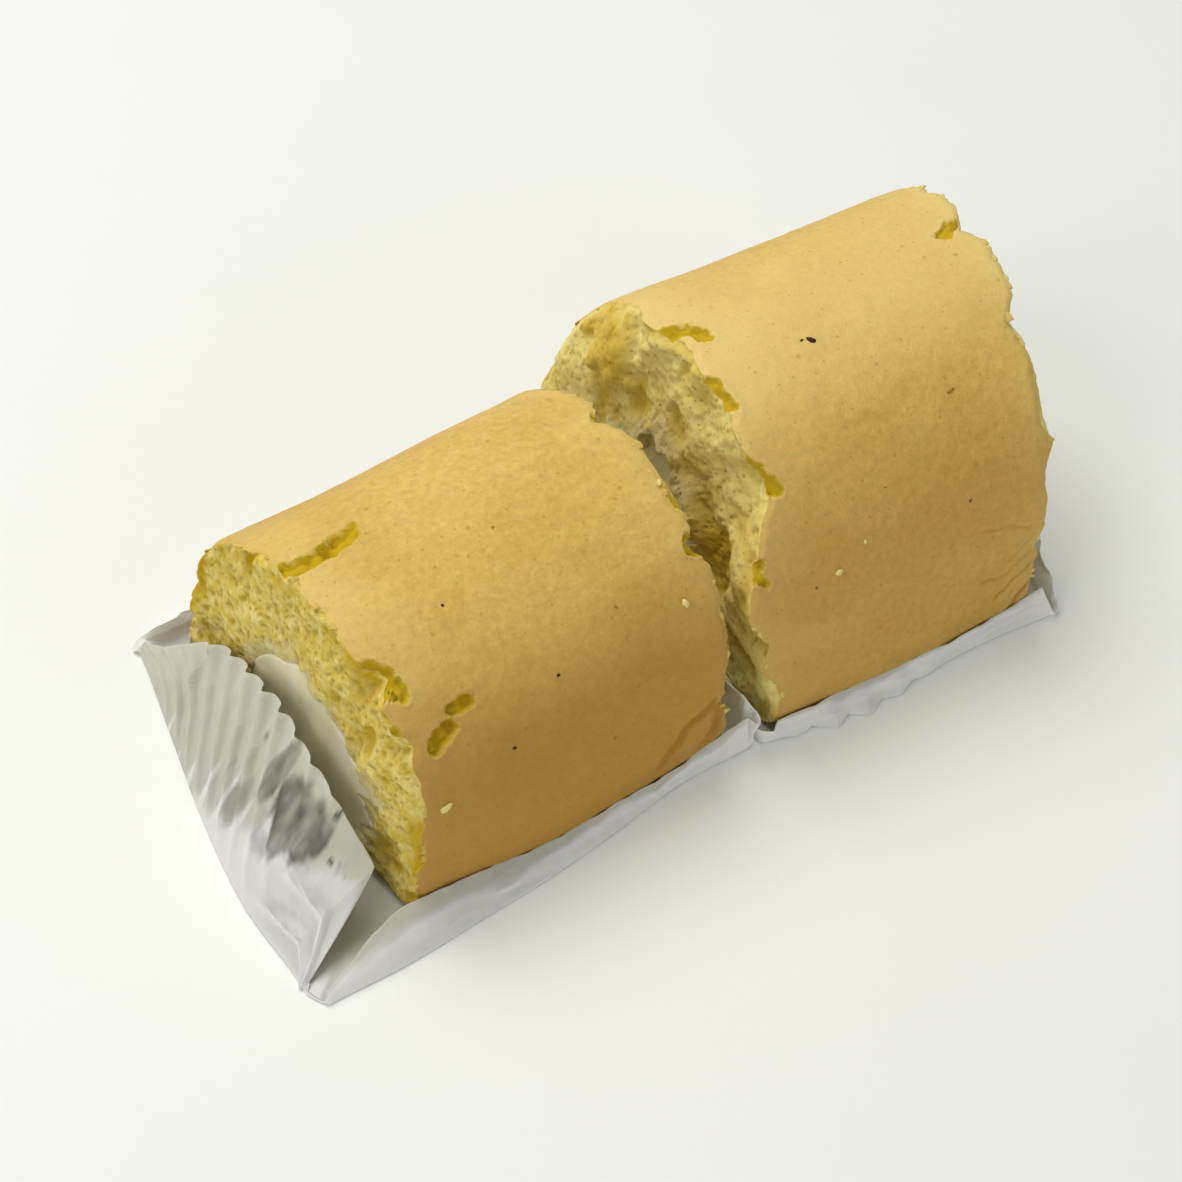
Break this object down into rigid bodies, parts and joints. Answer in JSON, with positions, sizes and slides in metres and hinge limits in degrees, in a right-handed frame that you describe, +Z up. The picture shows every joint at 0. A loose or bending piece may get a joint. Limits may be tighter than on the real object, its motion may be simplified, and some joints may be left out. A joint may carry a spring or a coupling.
{
  "type": "sliced swiss roll",
  "caption": "Cream-filled sponge roll cut into slices lying end to end, with golden skin, torn cut faces and pleated paper cases.",
  "frame": {"origin": "centre of the whole's box, at the floor it stands on", "axes": "+X along the roll from the left slice to the right one, +Y to the back, +Z up"},
  "size_m": [0.1598, 0.0788, 0.0509],
  "materials": {
    "sponge": "matte golden baked skin over pale yellow crumb",
    "cream": "smooth greyish ivory cream",
    "paper": "thin white greaseproof paper"
  },
  "bodies": {
    "root": {"sponge_left": "sponge", "cream_left": "cream", "case_left": "paper", "sponge_right": "sponge", "cream_right": "cream", "case_right": "paper"}
  },
  "joints": []
}
